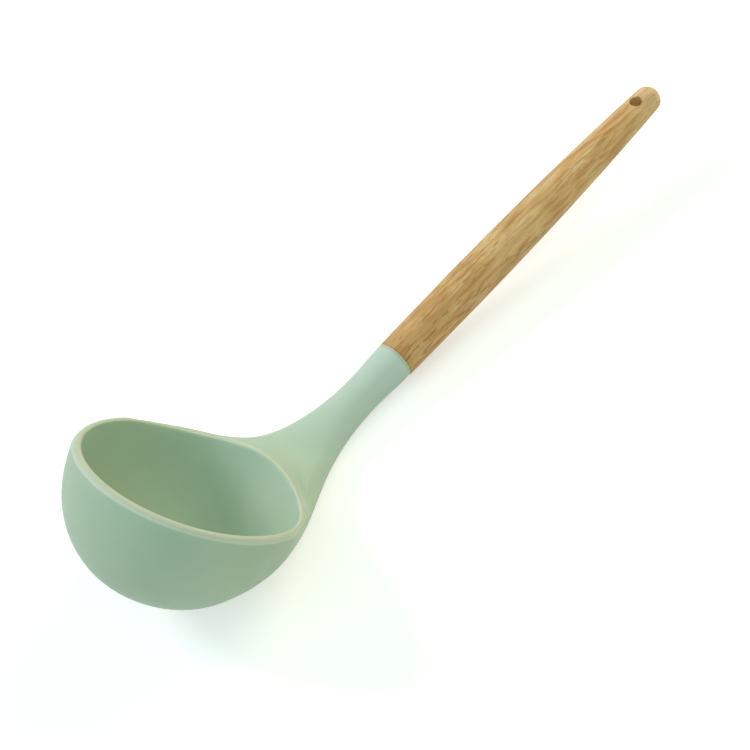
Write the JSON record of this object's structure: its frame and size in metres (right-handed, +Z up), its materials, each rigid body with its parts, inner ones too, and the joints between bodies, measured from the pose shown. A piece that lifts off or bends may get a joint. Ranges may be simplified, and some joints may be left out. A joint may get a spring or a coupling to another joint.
{
  "type": "soup ladle",
  "caption": "Soup ladle with a deep round silicone bowl on a rigid core, a flared neck that narrows to a waist, and a tapered wooden handle with a hanging hole.",
  "frame": {"origin": "middle of the length, on the table that the ladle lies on with its back down", "axes": "+X from the bowl towards the tip of the handle, +Z up, y = 0 the plane of symmetry"},
  "size_m": [0.303, 0.089, 0.0729],
  "materials": {
    "silicone": "matte sage green silicone",
    "nylon": "plain moulded nylon, hidden",
    "glue": "cured adhesive, hidden",
    "wood": "sanded light wood with fine straight grain"
  },
  "bodies": {
    "root": {"silicone_head": "silicone", "core": "nylon", "tang_bond": "glue", "handle": "wood"}
  },
  "joints": []
}
